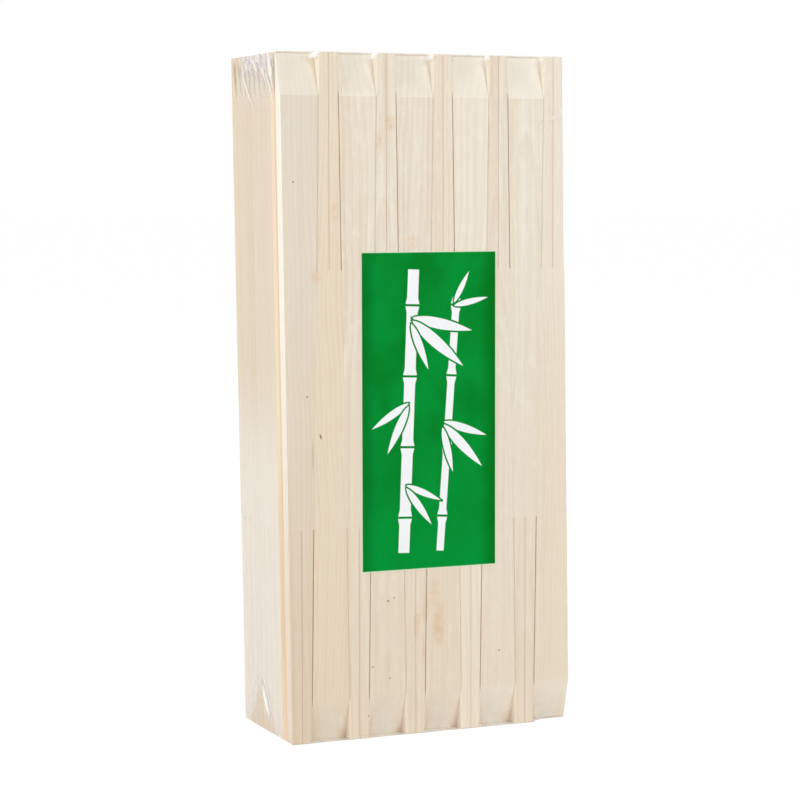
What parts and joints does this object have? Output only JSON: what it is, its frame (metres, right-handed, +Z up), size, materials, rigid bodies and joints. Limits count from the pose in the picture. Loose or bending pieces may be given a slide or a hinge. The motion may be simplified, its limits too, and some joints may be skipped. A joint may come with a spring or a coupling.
{
  "type": "pack of disposable wooden chopsticks",
  "caption": "Upright brick of unsplit wooden chopstick pairs stacked head to tip with slant-cut heads, shrink-wrapped in clear film with a green paper label on the front.",
  "frame": {"origin": "centre of the bounding box on the surface that the pack stands on", "axes": "+Z up along the sticks, -Y out of the labelled front, +X to the right seen from the front"},
  "size_m": [0.1116, 0.05, 0.2406],
  "materials": {
    "pale_wood": "planed, unfinished",
    "green_paper": "printed paper",
    "clear_film": "clear, glossy"
  },
  "bodies": {
    "root": {"film": "clear_film", "label": "green_paper", "pair_back_01": "pale_wood", "pair_back_02": "pale_wood", "pair_back_03": "pale_wood", "pair_back_04": "pale_wood", "pair_back_05": "pale_wood", "pair_back_06": "pale_wood", "pair_back_07": "pale_wood", "pair_back_08": "pale_wood", "pair_back_09": "pale_wood", "pair_back_10": "pale_wood", "pair_front_01": "pale_wood", "pair_front_02": "pale_wood", "pair_front_03": "pale_wood", "pair_front_04": "pale_wood", "pair_front_05": "pale_wood", "pair_front_06": "pale_wood", "pair_front_07": "pale_wood", "pair_front_08": "pale_wood", "pair_front_09": "pale_wood", "pair_front_10": "pale_wood", "pair_left_02": "pale_wood", "pair_left_03": "pale_wood", "pair_left_04": "pale_wood", "pair_left_05": "pale_wood", "pair_left_06": "pale_wood", "pair_left_07": "pale_wood", "pair_left_08": "pale_wood", "pair_left_09": "pale_wood", "pair_right_02": "pale_wood", "pair_right_03": "pale_wood", "pair_right_04": "pale_wood", "pair_right_05": "pale_wood", "pair_right_06": "pale_wood", "pair_right_07": "pale_wood", "pair_right_08": "pale_wood", "pair_right_09": "pale_wood", "pairs_hidden_02": "pale_wood", "pairs_hidden_03": "pale_wood", "pairs_hidden_04": "pale_wood", "pairs_hidden_05": "pale_wood", "pairs_hidden_06": "pale_wood", "pairs_hidden_07": "pale_wood", "pairs_hidden_08": "pale_wood", "pairs_hidden_09": "pale_wood"}
  },
  "joints": []
}
